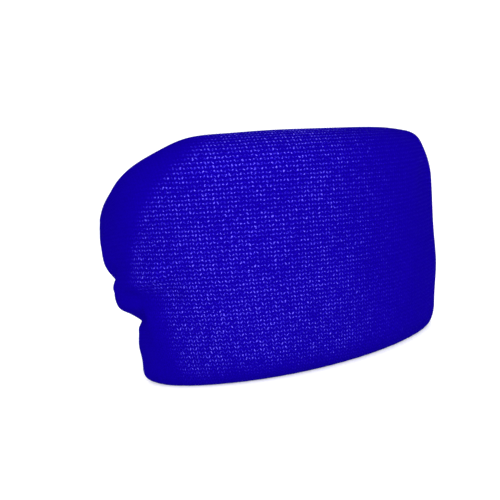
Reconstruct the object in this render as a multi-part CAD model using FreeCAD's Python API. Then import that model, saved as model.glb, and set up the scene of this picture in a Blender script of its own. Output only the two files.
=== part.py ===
import FreeCAD, Part
import math
import os

# An elastic knit knuckle sleeve, in millimetres, in the bent shape it takes over a closed fist.
# -Y is the way a punch goes, -X the index-finger side, +X the little-finger side and +Z the back of the hand.
# The sleeve stands on its finger rim, so z = 0 is the floor.

# side line of the outside: along the back of the hand, over the knuckles, down the front of the fingers
WRIST_RIM_Y = 16.0
WRIST_BACK_Z = 62.0
KNUCKLE_Y = -42.0
KNUCKLE_Z = 79.3
KNUCKLE_ROUNDING = 10.0
FINGER_RIM_Y = -32.0

# side line of the palm: along the palm, round the bend, down behind the fingers
WRIST_PALM_Z = 21.0
PALM_BEND_Y = 3.0
PALM_BEND_Z = 26.5
PALM_ROUNDING = 10.0
FINGER_RIM_DEPTH = 28.0

# half widths from the middle line, and how square the corners of a ring are (2 is an ellipse)
WRIST_HALF = 50.0
KNUCKLE_HALF_INDEX = 61.0
KNUCKLE_HALF_LITTLE = 58.0
FINGER_HALF_INDEX = 47.0
FINGER_HALF_LITTLE = 57.0
SQUARE_FRONT_INDEX = 2.8
SQUARE_FRONT_LITTLE = 4.9
SQUARE_PALM_INDEX = 2.8
SQUARE_PALM_LITTLE = 2.4

# the knuckle row curves back at both ends, and the index side is taller than the little-finger side
KNUCKLE_BOW = 0.006
SIDE_TAPER = 0.00124

# the finger rim rolls in, and the wrist rim dips forward where the thumb comes out
ROLL_HEIGHT = 10.0
ROLL_SIDE = 3.6
ROLL_FRONT = 5.0
THUMB_DIP = 0.078
THUMB_TURN = math.radians(205.0)
THUMB_SPREAD = math.radians(35.0)

# layers, from the outside in
KNIT = 1.6
LINING = 1.2
CLEARANCE = 0.2
PAD = 8.0
ELASTIC = 0.8

# the pad lies over the front of the fist and just over the knuckles
PAD_HALF_TURN = math.radians(66.0)
PAD_EDGE_TURN = math.radians(20.0)
PAD_START = 0.14
PAD_END = 0.985
PAD_EDGE = 0.10

# elastic tapes between the layers at the two hems, and the stitches that keep them there
TAPE_WIDTH = 6.0
TAPE_INSET = 1.5
STITCH_INSET = 8.5
STITCH_RADIUS = 0.35
STITCH_LENGTH = 2.6
STITCH_PITCH = 5.0
STITCH_LIFT = 0.1

COLUMNS = 60
ROWS = 38
BAND_ROWS = 5
PAD_COLUMNS = 32
PAD_ROWS = 30
FINE_STEPS = 240
FULL_TURN = 2.0 * math.pi
MIN_ROUNDING = 2.0


def smooth(value):
    """0 below 0, 1 above 1, and an even ease between."""
    value = min(max(value, 0.0), 1.0)
    return value * value * (3.0 - 2.0 * value)


def blend(share, first, middle, last):
    """A bend from the first value to the last, drawn towards the middle value."""
    rest = 1.0 - share
    return first * rest * rest + 2.0 * middle * share * rest + last * share * share


def left_of(direction):
    return FreeCAD.Vector(-direction.y, direction.x, 0)


def bent_line(start, corner, end, rounding, inset):
    """Two straight legs joined by an arc, moved sideways by inset. Positive inset is to the left."""
    first = (corner - start).normalize()
    second = (end - corner).normalize()
    turn = first.getAngle(second)
    side = math.copysign(1.0, left_of(first).dot(second))
    moved_start = start + left_of(first) * inset
    mitre = (left_of(first) + left_of(second)) / (1.0 + first.dot(second))
    moved_corner = corner + mitre * inset
    moved_end = end + left_of(second) * inset
    moved_end = moved_end - second * (moved_end.y / second.y)
    radius = max(rounding - side * inset, MIN_ROUNDING)
    cut = radius * math.tan(turn / 2.0)
    return {
        "start": moved_start,
        "arc_start": moved_corner - first * cut,
        "arc_end": moved_corner + second * cut,
        "end": moved_end,
        "first": first,
        "to_centre": left_of(first) * side,
        "radius": radius,
        "turn": turn,
    }


def leg_shares(line):
    """The shares of a bent line's length at which its arc starts and ends."""
    first = (line["arc_start"] - line["start"]).Length
    arc = line["radius"] * line["turn"]
    last = (line["end"] - line["arc_end"]).Length
    total = first + arc + last
    return first / total, (first + arc) / total


def point_on(line, share, arc_from, arc_to):
    """The point of a bent line at a share of the way, with the arc between the two given shares."""
    if share < arc_from:
        return line["start"] + (line["arc_start"] - line["start"]) * (share / arc_from)
    if share > arc_to:
        return line["arc_end"] + (line["end"] - line["arc_end"]) * ((share - arc_to) / (1.0 - arc_to))
    angle = line["turn"] * (share - arc_from) / (arc_to - arc_from)
    centre = line["arc_start"] + line["to_centre"] * line["radius"]
    back = line["to_centre"] * (-line["radius"] * math.cos(angle))
    return centre + back + line["first"] * (line["radius"] * math.sin(angle))


def outside_line(inset):
    """The outside's side line, as (y, z) points."""
    start = FreeCAD.Vector(WRIST_RIM_Y, WRIST_BACK_Z, 0)
    corner = FreeCAD.Vector(KNUCKLE_Y, KNUCKLE_Z, 0)
    end = FreeCAD.Vector(FINGER_RIM_Y, 0, 0)
    return bent_line(start, corner, end, KNUCKLE_ROUNDING, inset)


def palm_line(inset):
    """The palm's side line, as (y, z) points. The inside of the sleeve is to its right."""
    start = FreeCAD.Vector(WRIST_RIM_Y, WRIST_PALM_Z, 0)
    corner = FreeCAD.Vector(PALM_BEND_Y, PALM_BEND_Z, 0)
    end = FreeCAD.Vector(FINGER_RIM_Y + FINGER_RIM_DEPTH, 0, 0)
    return bent_line(start, corner, end, PALM_ROUNDING, -inset)


OUTSIDE_ARC = leg_shares(outside_line(0.0))
PALM_ARC = leg_shares(palm_line(0.0))
ARC_FROM = (OUTSIDE_ARC[0] + PALM_ARC[0]) / 2.0
ARC_TO = (OUTSIDE_ARC[1] + PALM_ARC[1]) / 2.0


def squareness(side, front):
    """The corner exponent of a ring at a point on the given side and front (or palm) half."""
    if front > 0.0:
        return SQUARE_FRONT_INDEX if side < 0.0 else SQUARE_FRONT_LITTLE
    return SQUARE_PALM_INDEX if side < 0.0 else SQUARE_PALM_LITTLE


def half_width(side, share, inset, rolled):
    """The half width of a ring, which leans from the index side to the little-finger side."""
    index = blend(share, WRIST_HALF, KNUCKLE_HALF_INDEX, FINGER_HALF_INDEX)
    little = blend(share, WRIST_HALF, KNUCKLE_HALF_LITTLE, FINGER_HALF_LITTLE)
    middle = (index + little) / 2.0
    return middle + (little - index) / 2.0 * side - inset - ROLL_SIDE * rolled


def thumb_dip(turn):
    """How far along the sleeve the wrist rim starts at this turn."""
    off = (turn - THUMB_TURN + math.pi) % FULL_TURN - math.pi
    return THUMB_DIP * math.exp(-((off / THUMB_SPREAD) ** 2))


def roll_in(height):
    """How far the finger rim has rolled in at a height above the floor, from 0 to 1."""
    left = max(1.0 - height / ROLL_HEIGHT, 0.0)
    return 1.0 - math.sqrt(max(1.0 - left * left, 0.0))


def sleeve_point(turn, along, inset):
    """A point of the sleeve. turn goes round it from the little-finger side over the front, along goes from
    the wrist rim (0) to the finger rim (1), and inset is the depth under the outside."""
    dip = thumb_dip(turn)
    share = dip + (1.0 - dip) * along
    outside = point_on(outside_line(inset), share, ARC_FROM, ARC_TO)
    palm = point_on(palm_line(inset), share, ARC_FROM, ARC_TO)
    side, front = math.cos(turn), math.sin(turn)
    square = squareness(side, front)
    reach = (abs(side) ** square + abs(front) ** square) ** (-1.0 / square)
    leg_length = outside_line(0.0)["arc_end"].y
    height = leg_length * (1.0 - share) / (1.0 - ARC_TO)
    rolled = roll_in(height)
    x = half_width(side, share, inset, rolled) * side * reach
    middle = (outside + palm) / 2.0 + (outside - palm) / 2.0 * (front * reach)
    y = middle.x + ROLL_FRONT * rolled * max(front * reach, 0.0) + KNUCKLE_BOW * x * x
    return FreeCAD.Vector(x, y, middle.y * (1.0 - SIDE_TAPER * x))


def line_length(turn):
    """The length of the sleeve from rim to rim along one turn."""
    points = [sleeve_point(turn, step / ROWS, 0.0) for step in range(ROWS + 1)]
    return sum((after - before).Length for before, after in zip(points, points[1:]))


def pad_depth(turn, along):
    """The pad's thickness, which eases to nothing at its edges."""
    off = abs((turn - math.pi / 2.0 + math.pi) % FULL_TURN - math.pi)
    across = smooth((PAD_HALF_TURN - off) / PAD_EDGE_TURN)
    start = smooth((along - PAD_START) / PAD_EDGE)
    end = smooth((PAD_END - along) / PAD_EDGE)
    return PAD * across * start * end


def tape_depth(turn, along):
    """The room an elastic tape takes between the layers, near either rim."""
    from_rim = min(along, 1.0 - along) * line_length(turn)
    return ELASTIC * smooth((TAPE_INSET + 2.0 * TAPE_WIDTH - from_rim) / TAPE_WIDTH)


def knit_outside(turn, along):
    return 0.0


def knit_inside(turn, along):
    return KNIT


def filling_outside(turn, along):
    return KNIT + CLEARANCE


def tape_inside(turn, along):
    return filling_outside(turn, along) + ELASTIC


def pad_inside(turn, along):
    return filling_outside(turn, along) + pad_depth(turn, along)


def lining_outside(turn, along):
    filling = max(pad_depth(turn, along), tape_depth(turn, along))
    return filling_outside(turn, along) + filling + CLEARANCE


def lining_inside(turn, along):
    return lining_outside(turn, along) + LINING


def dense_at_ends(count):
    """Shares from 0 to 1 that lie closer together at both ends."""
    shares = []
    for step in range(count + 1):
        even = step / count
        eased = 0.5 - 0.5 * math.cos(math.pi * even)
        shares.append(0.4 * even + 0.6 * eased)
    return shares


def knots_for(poles):
    """The knots and their counts of an open cubic spline."""
    knots = [float(step) for step in range(poles - 2)]
    return knots, [4] + [1] * (poles - 4) + [4]


def ring_face(inset, start, end, rows):
    """A closed band of surface at a depth, from one distance along the sleeve to another."""
    poles = []
    for column in range(COLUMNS):
        turn = FULL_TURN * column / COLUMNS
        length = line_length(turn)
        first, last = start(length), end(length)
        line = []
        for share in rows:
            along = first + (last - first) * share
            line.append(sleeve_point(turn, along, inset(turn, along)))
        poles.append(line)
    round_knots = [float(step) for step in range(COLUMNS + 1)]
    knots, counts = knots_for(len(rows))
    surface = Part.BSplineSurface()
    surface.buildFromPolesMultsKnots(
        poles, [1] * (COLUMNS + 1), counts, round_knots, knots, True, False, 3, 3
    )
    return surface.toShape()


def patch_face(inset, turns, alongs):
    """An open patch of surface at a depth, over a range of turns and of shares along the sleeve."""
    poles = [[sleeve_point(turn, along, inset(turn, along)) for along in alongs] for turn in turns]
    turn_knots, turn_counts = knots_for(len(turns))
    knots, counts = knots_for(len(alongs))
    surface = Part.BSplineSurface()
    surface.buildFromPolesMultsKnots(poles, turn_counts, counts, turn_knots, knots, False, False, 3, 3)
    return surface.toShape()


def closed_edges(face):
    """The two rims of a closed band: its edges that are not the seam, wrist side first."""
    rims = [edge for edge in face.Edges if not edge.isSeam(face)]
    return sorted(rims, key=lambda edge: -edge.CenterOfMass.y)


def solid_from(faces):
    """The solid that a closed set of faces bounds."""
    shell = Part.makeShell(faces)
    shell.sewShape()
    solid = Part.Solid(Part.Shell(shell.Faces))
    if solid.Volume < 0.0:
        solid.reverse()
    return solid


def flat_rim(outer_edge, inner_edge):
    """The flat face between two closed edges that lie on the floor."""
    wires = [Part.Wire(outer_edge), Part.Wire(inner_edge)]
    return Part.makeFace(wires, "Part::FaceMakerBullseye")


def tube_wall(outer_inset, inner_inset):
    """A layer of the sleeve from rim to rim, whose finger rim is flat on the floor."""
    rows = dense_at_ends(ROWS - 1)
    outer = ring_face(outer_inset, lambda length: 0.0, lambda length: 1.0, rows)
    inner = ring_face(inner_inset, lambda length: 0.0, lambda length: 1.0, rows)
    outer_wrist, outer_finger = closed_edges(outer)
    inner_wrist, inner_finger = closed_edges(inner)
    wrist = Part.makeRuledSurface(outer_wrist, inner_wrist)
    return solid_from([outer, inner, wrist, flat_rim(outer_finger, inner_finger)])


def tape_ring(start, end):
    """An elastic tape round the sleeve, from one distance along it to another."""
    rows = [step / (BAND_ROWS - 1) for step in range(BAND_ROWS)]
    outer = ring_face(filling_outside, start, end, rows)
    inner = ring_face(tape_inside, start, end, rows)
    faces = [outer, inner]
    for outer_edge, inner_edge in zip(closed_edges(outer), closed_edges(inner)):
        faces.append(Part.makeRuledSurface(outer_edge, inner_edge))
    return solid_from(faces)


def outer_knit_sleeve():
    return tube_wall(knit_outside, knit_inside)


def inner_knit_lining():
    return tube_wall(lining_outside, lining_inside)


def wrist_elastic():
    return tape_ring(lambda length: TAPE_INSET / length, lambda length: (TAPE_INSET + TAPE_WIDTH) / length)


def finger_elastic():
    return tape_ring(
        lambda length: 1.0 - (TAPE_INSET + TAPE_WIDTH) / length, lambda length: 1.0 - TAPE_INSET / length
    )


def steps_between(first, last, count):
    return [first + (last - first) * step / (count - 1) for step in range(count)]


def knuckle_foam_pad():
    """The pad between the layers, cut square where it has eased to half its thickness."""
    half = PAD_HALF_TURN - PAD_EDGE_TURN / 2.0
    turns = steps_between(math.pi / 2.0 - half, math.pi / 2.0 + half, PAD_COLUMNS)
    alongs = steps_between(PAD_START + PAD_EDGE / 2.0, PAD_END - PAD_EDGE / 2.0, PAD_ROWS)
    front = patch_face(filling_outside, turns, alongs)
    back = patch_face(pad_inside, turns, alongs)
    sides = [Part.makeRuledSurface(one, other) for one, other in zip(front.Edges, back.Edges)]
    return solid_from([front, back] + sides)


def lining_face_point(turn, along, lift):
    """A point above the inside face of the lining."""
    return sleeve_point(turn, along, lining_inside(turn, along) + lift)


def evenly_spaced(points):
    """Points and directions at an even pitch along a closed line."""
    closed = points + points[:1]
    lengths = [(after - before).Length for before, after in zip(closed, closed[1:])]
    count = round(sum(lengths) / STITCH_PITCH)
    pitch = sum(lengths) / count
    spots = []
    walked = 0.0
    for before, after, length in zip(closed, closed[1:], lengths):
        while len(spots) < count and len(spots) * pitch <= walked + length:
            share = (len(spots) * pitch - walked) / length
            spots.append((before + (after - before) * share, (after - before).normalize()))
        walked += length
    return spots


def stitch_row(line):
    """A row of short stitches along a closed line."""
    stitches = []
    for middle, direction in evenly_spaced(line):
        start = middle - direction * (STITCH_LENGTH / 2.0)
        stitches.append(Part.makeCylinder(STITCH_RADIUS, STITCH_LENGTH, start, direction))
    return Part.makeCompound(stitches)


def hem_line(from_wrist):
    """The line of a hem's stitches, just past its tape."""
    points = []
    for step in range(FINE_STEPS):
        turn = FULL_TURN * step / FINE_STEPS
        share = STITCH_INSET / line_length(turn)
        along = share if from_wrist else 1.0 - share
        points.append(lining_face_point(turn, along, STITCH_RADIUS + STITCH_LIFT))
    return points


def wrist_hem_stitches():
    return stitch_row(hem_line(True))


def finger_hem_stitches():
    return stitch_row(hem_line(False))


def pad_tacking_stitches():
    """The stitches that hold the pad to the lining, in a loop just inside the pad's edge."""
    half = PAD_HALF_TURN - PAD_EDGE_TURN
    left, right = math.pi / 2.0 + half, math.pi / 2.0 - half
    low, high = PAD_START + PAD_EDGE, PAD_END - PAD_EDGE
    side = steps_between(0.0, 1.0, FINE_STEPS // 4 + 1)[:-1]
    loop = [(right + (left - right) * share, low) for share in side]
    loop += [(left, low + (high - low) * share) for share in side]
    loop += [(left + (right - left) * share, high) for share in side]
    loop += [(right, high + (low - high) * share) for share in side]
    lift = STITCH_RADIUS + STITCH_LIFT
    return stitch_row([lining_face_point(turn, along, lift) for turn, along in loop])


SUB_PARTS = [
    outer_knit_sleeve,
    inner_knit_lining,
    knuckle_foam_pad,
    wrist_elastic,
    finger_elastic,
    wrist_hem_stitches,
    finger_hem_stitches,
    pad_tacking_stitches,
]


def floor_centre(shape):
    """The centre of a shape's bounding box, on the floor."""
    centre = shape.optimalBoundingBox(False).Center
    return FreeCAD.Vector(centre.x, centre.y, 0.0)


os.makedirs("parts", exist_ok=True)
origin = floor_centre(outer_knit_sleeve())
for sub_part in SUB_PARTS:
    shape = sub_part()
    shape.translate(origin * -1.0)
    shape.exportStep("parts/" + sub_part.__name__ + ".step")
    print(sub_part.__name__, shape.isValid(), round(shape.Volume, 1), "mm3")
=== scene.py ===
import math

import bmesh
import bpy
import numpy as np
from mathutils import Matrix, Vector


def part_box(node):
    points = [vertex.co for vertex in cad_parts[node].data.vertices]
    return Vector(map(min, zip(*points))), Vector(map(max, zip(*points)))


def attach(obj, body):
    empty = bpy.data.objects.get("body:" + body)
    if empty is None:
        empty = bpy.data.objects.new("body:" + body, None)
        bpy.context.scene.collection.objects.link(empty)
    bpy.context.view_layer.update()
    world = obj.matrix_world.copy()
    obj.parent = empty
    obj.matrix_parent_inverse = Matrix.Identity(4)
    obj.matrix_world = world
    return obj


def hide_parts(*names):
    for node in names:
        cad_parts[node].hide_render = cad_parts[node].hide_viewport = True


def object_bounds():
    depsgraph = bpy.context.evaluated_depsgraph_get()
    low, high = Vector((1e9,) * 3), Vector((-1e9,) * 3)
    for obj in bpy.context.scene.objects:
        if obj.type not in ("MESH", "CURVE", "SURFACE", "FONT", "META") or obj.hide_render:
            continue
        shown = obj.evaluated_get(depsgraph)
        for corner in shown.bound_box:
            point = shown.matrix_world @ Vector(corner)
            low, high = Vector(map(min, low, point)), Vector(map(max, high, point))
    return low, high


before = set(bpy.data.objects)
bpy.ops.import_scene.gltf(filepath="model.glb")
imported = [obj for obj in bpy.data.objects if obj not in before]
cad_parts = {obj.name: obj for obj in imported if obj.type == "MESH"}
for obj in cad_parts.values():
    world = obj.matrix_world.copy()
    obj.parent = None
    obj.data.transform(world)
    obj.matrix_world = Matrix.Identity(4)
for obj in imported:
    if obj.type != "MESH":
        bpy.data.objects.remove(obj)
CAD_LOW, CAD_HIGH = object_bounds()

MM = 0.001
FULL_TURN = 2.0 * math.pi

# The sleeve's outside, in millimetres. Points of its two side lines are (y, z), and z = 0 is the floor.
WRIST_RIM = np.array((16.0, 62.0))
KNUCKLE = np.array((-42.0, 79.3))
FINGER_RIM = np.array((-32.0, 0.0))
KNUCKLE_ROUNDING = 10.0
PALM_WRIST_RIM = np.array((16.0, 21.0))
PALM_BEND = np.array((3.0, 26.5))
PALM_FINGER_RIM = np.array((-4.0, 0.0))
PALM_ROUNDING = 10.0
MIN_ROUNDING = 2.0

# half widths at the wrist, at the knuckles and at the fingers, and how square the corners of a ring are
INDEX_HALF = (50.0, 61.0, 47.0)
LITTLE_HALF = (50.0, 58.0, 57.0)
SQUARE_FRONT_INDEX = 2.8
SQUARE_FRONT_LITTLE = 4.9
SQUARE_PALM_INDEX = 2.8
SQUARE_PALM_LITTLE = 2.4
KNUCKLE_BOW = 0.006
SIDE_TAPER = 0.00124

# the finger rim rolls in, and the wrist rim dips forward where the thumb comes out
ROLL_HEIGHT = 10.0
ROLL_SIDE = 3.6
ROLL_FRONT = 5.0
THUMB_DIP = 0.078
THUMB_TURN = math.radians(205.0)
THUMB_SPREAD = math.radians(35.0)

# layers from the outside in, and the pad and tapes between them
KNIT = 1.6
LINING = 1.2
CLEARANCE = 0.2
FILLING_DEPTH = KNIT + CLEARANCE
PAD = 8.0
PAD_MIDDLE = math.pi / 2.0
PAD_HALF_TURN = math.radians(66.0)
PAD_EDGE_TURN = math.radians(20.0)
PAD_START = 0.14
PAD_END = 0.985
PAD_EDGE = 0.10
ELASTIC = 0.8
TAPE_INSET = 1.5
TAPE_WIDTH = 6.0
STITCH_INSET = 8.5
STITCH_PITCH = 5.0

# the outer knit turns round each rim and back inside, as far as the hem
RIM_RADIUS = 2.0
HEM = 10.0
HEM_LAP = 0.7
HEM_LENGTH = math.pi * RIM_RADIUS + HEM - RIM_RADIUS

# The jersey knit: wales are counted round the sleeve, a course is as tall as one V, and the courses sag on
# the little-finger side. The legs of a V slant less over the knuckles, where the knit is stretched most.
WALES = 140
COURSE = 1.32
COURSE_DROP = 5.6
COURSE_DROP_TURN = math.radians(35.0)
COURSE_DROP_SPREAD = math.radians(50.0)
V_SLANT_KNUCKLE = 0.36
V_SLANT_FINGER = 0.90
V_SLANT_COURSES = 46.0
V_RELIEF = 0.26
COLUMNS_PER_WALE = 6
ROWS_PER_COURSE = 5

# how finely lines are measured, and how fine the grids of the folds are
LINE_STEPS = 240
RING_SHARES = np.linspace(0.1, 0.9, 9)
CLOTH_COLUMNS = 132
CLOTH_ROWS = 72
SHAPE_COLUMNS = 360
SHAPE_ROWS = 220
WELD_GAP = 0.001
TINY = 1e-9

# soft noise: its spread, and for each use a seed and the rows and columns of its coarse grid
NOISE_SPREAD = 0.6
WALE_NOISE = (3, 30, 40)
COURSE_NOISE = (4, 34, 30)
RELIEF_NOISE = (5, 60, 90)
CLOTH_NOISE = (11, 26, 44)
LINING_WALE_NOISE = (21, 26, 34)
LINING_COURSE_NOISE = (22, 26, 34)
FOAM_NOISE = (31, 60, 80)


def unit(vector):
    """The direction of a vector."""
    return vector / np.linalg.norm(vector)


def smooth(value):
    """0 below 0, 1 above 1, and an even ease between."""
    value = np.clip(value, 0.0, 1.0)
    return value * value * (3.0 - 2.0 * value)


def turn_between(turn, other):
    """The signed turn from other to turn, within half a turn either way."""
    return (turn - other + math.pi) % FULL_TURN - math.pi


def left_of(direction):
    """The direction a quarter turn to the left."""
    return np.array((-direction[1], direction[0]))


def leg_shares(start, corner, end, rounding):
    """The shares of a bent line's length at which its arc starts and ends."""
    bend = math.acos(unit(corner - start) @ unit(end - corner))
    cut = rounding * math.tan(bend / 2.0)
    first = np.linalg.norm(corner - start) - cut
    last = np.linalg.norm(end - corner) - cut
    total = first + rounding * bend + last
    return np.array((first / total, 1.0 - last / total))


OUTSIDE_LINE = (WRIST_RIM, KNUCKLE, FINGER_RIM, KNUCKLE_ROUNDING)
PALM_LINE = (PALM_WRIST_RIM, PALM_BEND, PALM_FINGER_RIM, PALM_ROUNDING)
ARC_FROM, ARC_TO = (leg_shares(*OUTSIDE_LINE) + leg_shares(*PALM_LINE)) / 2.0


def bent_line(line, share, inset):
    """Points of two straight legs joined by an arc, moved to the left by inset."""
    start, corner, end, rounding = line
    first, second = unit(corner - start), unit(end - corner)
    bend = math.acos(first @ second)
    side = math.copysign(1.0, left_of(first) @ second)
    inset, share = inset[..., None], share[..., None]
    mitre = (left_of(first) + left_of(second)) / (1.0 + first @ second)
    radius = np.maximum(rounding - side * inset, MIN_ROUNDING)
    cut = radius * math.tan(bend / 2.0)
    moved_start = start + left_of(first) * inset
    moved_end = end + left_of(second) * inset
    moved_end = moved_end - second * (moved_end[..., 1:] / second[1])
    arc_start = corner + mitre * inset - first * cut
    arc_end = corner + mitre * inset + second * cut
    angle = bend * np.clip((share - ARC_FROM) / (ARC_TO - ARC_FROM), 0.0, 1.0)
    to_centre = left_of(first) * side
    arc = arc_start + to_centre * radius * (1.0 - np.cos(angle)) + first * radius * np.sin(angle)
    first_leg = moved_start + (arc_start - moved_start) * (share / ARC_FROM)
    last_leg = arc_end + (moved_end - arc_end) * ((share - ARC_TO) / (1.0 - ARC_TO))
    return np.where(share < ARC_FROM, first_leg, np.where(share > ARC_TO, last_leg, arc))


def lean(share, halves):
    """A half width that bends from the first value to the last, drawn towards the middle one."""
    rest = 1.0 - share
    return halves[0] * rest * rest + 2.0 * halves[1] * share * rest + halves[2] * share * share


def squareness(side, front):
    """The corner exponent of a ring at a point on the given side and front (or palm) half."""
    on_front = np.where(side < 0.0, SQUARE_FRONT_INDEX, SQUARE_FRONT_LITTLE)
    on_palm = np.where(side < 0.0, SQUARE_PALM_INDEX, SQUARE_PALM_LITTLE)
    return np.where(front > 0.0, on_front, on_palm)


def roll_in(share):
    """How far the finger rim has rolled in, from 0 to 1."""
    leg = np.linalg.norm(FINGER_RIM - KNUCKLE) - KNUCKLE_ROUNDING
    left = np.maximum(1.0 - leg * (1.0 - share) / (1.0 - ARC_TO) / ROLL_HEIGHT, 0.0)
    return 1.0 - np.sqrt(np.maximum(1.0 - left * left, 0.0))


def sleeve_point(turn, along, inset):
    """Points of the sleeve in millimetres. turn goes round it from the little-finger side over the front,
    along goes from the wrist rim (0) to the finger rim (1), and inset is the depth under the outside."""
    turn, along, inset = np.broadcast_arrays(turn, along, inset)
    dip = THUMB_DIP * np.exp(-((turn_between(turn, THUMB_TURN) / THUMB_SPREAD) ** 2))
    share = dip + (1.0 - dip) * along
    outside = bent_line(OUTSIDE_LINE, share, inset)
    palm = bent_line(PALM_LINE, share, -inset)
    side, front = np.cos(turn), np.sin(turn)
    square = squareness(side, front)
    reach = (np.abs(side) ** square + np.abs(front) ** square) ** (-1.0 / square)
    index, little = lean(share, INDEX_HALF), lean(share, LITTLE_HALF)
    rolled = roll_in(share)
    half = (index + little) / 2.0 + (little - index) / 2.0 * side - inset - ROLL_SIDE * rolled
    x = half * side * reach
    middle = (outside + palm) / 2.0 + (outside - palm) / 2.0 * (front * reach)[..., None]
    y = middle[..., 0] + ROLL_FRONT * rolled * np.maximum(front * reach, 0.0) + KNUCKLE_BOW * x * x
    return np.stack([x, y, middle[..., 1] * (1.0 - SIDE_TAPER * x)], axis=-1)


def frame_shift():
    """How far the formula's middle lies from the middle of the CAD node, in millimetres."""
    turns = np.linspace(0.0, FULL_TURN, 4 * LINE_STEPS, endpoint=False)
    points = sleeve_point(turns[None, :], np.linspace(0.0, 1.0, LINE_STEPS)[:, None], 0.0)
    low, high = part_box("outer_knit_sleeve")
    cad_middle = (np.array(low) + np.array(high)) / 2.0 / MM
    middle = (points.min(axis=(0, 1)) + points.max(axis=(0, 1))) / 2.0
    return np.array((cad_middle[0] - middle[0], cad_middle[1] - middle[1], low.z / MM))


SHIFT = frame_shift()


def even_turns(count):
    """Turns that are evenly spaced by length round the sleeve, from the little-finger side."""
    fine = np.linspace(0.0, FULL_TURN, 6 * LINE_STEPS + 1)
    rings = sleeve_point(fine[None, :], RING_SHARES[:, None], 0.0)
    steps = np.linalg.norm(np.diff(rings, axis=1), axis=2).mean(axis=0)
    walked = np.concatenate([[0.0], np.cumsum(steps)])
    return np.interp(np.arange(count) / count * walked[-1], walked, fine)


def line_lengths(turns):
    """Shares along the sleeve, and how far the line at each turn has come at each share."""
    shares = np.linspace(0.0, 1.0, LINE_STEPS + 1)
    points = sleeve_point(turns[None, :], shares[:, None], 0.0)
    steps = np.linalg.norm(np.diff(points, axis=0), axis=2)
    return shares, np.vstack([np.zeros(len(turns)), np.cumsum(steps, axis=0)])


def even_lines(count):
    """Turns that are evenly spaced round the sleeve, and the length of the line at each."""
    turns = even_turns(count)
    return turns, line_lengths(turns)[1][-1]


def along_at(turns, distance):
    """The share along the sleeve at each distance from the wrist rim. Columns of distance go with turns."""
    shares, walked = line_lengths(turns)
    columns = [np.interp(distance[:, c], walked[:, c], shares) for c in range(len(turns))]
    return np.stack(columns, axis=1)


def grid_normals(points):
    """Unit normals of a grid that closes round its columns. They point out of the sleeve on its outside."""
    along = np.gradient(points, axis=0)
    around = np.roll(points, -1, axis=1) - np.roll(points, 1, axis=1)
    normal = np.cross(around, along)
    return normal / np.maximum(np.linalg.norm(normal, axis=2, keepdims=True), TINY)


def spline_weights(position):
    """The first of four neighbours, and the four weights of a cubic spline, at positions in grid steps."""
    first = np.floor(position).astype(int)
    t = position - first
    weights = ((1 - t) ** 3, 3 * t**3 - 6 * t**2 + 4, -3 * t**3 + 3 * t**2 + 3 * t + 1, t**3)
    return first - 1, [w / 6.0 for w in weights]


def sample_grid(values, row, column):
    """Smooth values between the points of a grid that closes round its columns."""
    row_first, row_weights = spline_weights(row)
    column_first, column_weights = spline_weights(column)
    total = np.zeros(np.broadcast(row, column).shape)
    for i, row_weight in enumerate(row_weights):
        rows = np.clip(row_first + i, 0, values.shape[0] - 1)
        for j, column_weight in enumerate(column_weights):
            columns = (column_first + j) % values.shape[1]
            total = total + row_weight * column_weight * values[rows, columns]
    return total


def soft_noise(source, shape):
    """Smooth noise between about -1 and 1 on a closed grid, from a coarse grid of seeded random values."""
    seed, rows, columns = source
    values = np.random.default_rng(seed).normal(0.0, NOISE_SPREAD, (rows, columns))
    row = np.linspace(0.0, rows - 1.0, shape[0])[:, None]
    column = (np.arange(shape[1]) / shape[1] * columns)[None, :]
    row, column = np.broadcast_arrays(row, column)
    return sample_grid(values, row, column)


def grid_mesh(name, points, maps=None, rows_closed=False, inward=False):
    """A mesh of quads over a grid of points in millimetres, which closes round its columns. A map is a grid
    of (u, v) with one more row or column than the points where the grid closes."""
    rows, columns = points.shape[:2]
    row_ends = np.arange(1, rows + 1) % rows if rows_closed else np.arange(1, rows)
    column_ends = np.arange(1, columns + 1) % columns
    r, c = np.meshgrid(np.arange(len(row_ends)), np.arange(len(column_ends)), indexing="ij")
    r_end, c_end = row_ends[r], column_ends[c]
    corners = [(r, c, r, c), (r, c_end, r, c + 1), (r_end, c_end, r + 1, c + 1), (r_end, c, r + 1, c)]
    if inward:
        corners.reverse()
    quads = np.stack([a * columns + b for a, b, _, _ in corners], axis=-1).reshape(-1, 4)
    mesh = bpy.data.meshes.new(name)
    mesh.vertices.add(rows * columns)
    mesh.vertices.foreach_set("co", ((points + SHIFT) * MM).astype(np.float32).ravel())
    mesh.loops.add(quads.size)
    mesh.loops.foreach_set("vertex_index", quads.astype(np.int32).ravel())
    mesh.polygons.add(len(quads))
    mesh.polygons.foreach_set("loop_start", np.arange(0, quads.size, 4, dtype=np.int32))
    mesh.polygons.foreach_set("use_smooth", np.ones(len(quads), bool))
    for map_name, uv in (maps or {}).items():
        layer = mesh.uv_layers.new(name=map_name)
        corner_uv = np.stack([uv[a, b] for _, _, a, b in corners], axis=-2)
        layer.data.foreach_set("uv", corner_uv.astype(np.float32).ravel())
    mesh.update(calc_edges=True)
    mesh.validate()
    return mesh


def unit_map(rows, columns):
    """A UV grid that fills the unit square."""
    v, u = np.meshgrid(np.linspace(0.0, 1.0, rows), np.linspace(0.0, 1.0, columns), indexing="ij")
    return np.stack([u, v], axis=-1)


def weld(mesh):
    """Joins points that lie in one place."""
    work = bmesh.new()
    work.from_mesh(mesh)
    bmesh.ops.remove_doubles(work, verts=work.verts, dist=WELD_GAP * MM)
    work.to_mesh(mesh)
    work.free()


def add_object(name, data):
    """A new object in the scene."""
    thing = bpy.data.objects.new(name, data)
    bpy.context.scene.collection.objects.link(thing)
    return thing


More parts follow.
